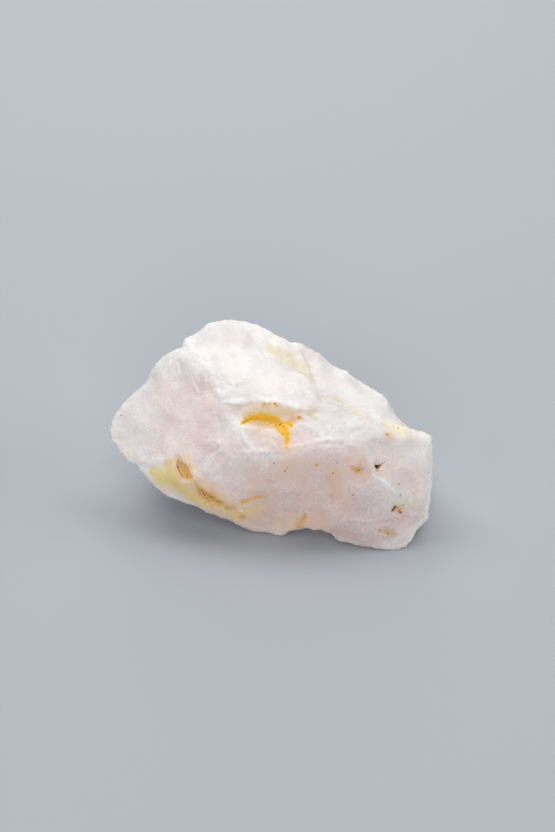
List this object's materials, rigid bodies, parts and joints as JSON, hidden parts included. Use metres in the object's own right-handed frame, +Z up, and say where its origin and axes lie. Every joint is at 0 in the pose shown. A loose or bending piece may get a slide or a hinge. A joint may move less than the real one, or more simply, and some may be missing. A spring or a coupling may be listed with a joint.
{
  "type": "rough calcite chunk",
  "caption": "Rough broken chunk of pale pink calcite with a domed top, a bright shelf, a tall front face and a thin overhanging left tip, resting on a flat underside.",
  "frame": {"origin": "on the resting plane, under the middle of the chunk's bounding box", "axes": "+X along the longest extent towards the chunk's blunt right end, +Y to the back, +Z up"},
  "size_m": [0.1102, 0.0668, 0.0524],
  "materials": {
    "calcite": "rough broken faces, slightly translucent"
  },
  "bodies": {
    "root": {"calcite_chunk": "calcite"}
  },
  "joints": []
}
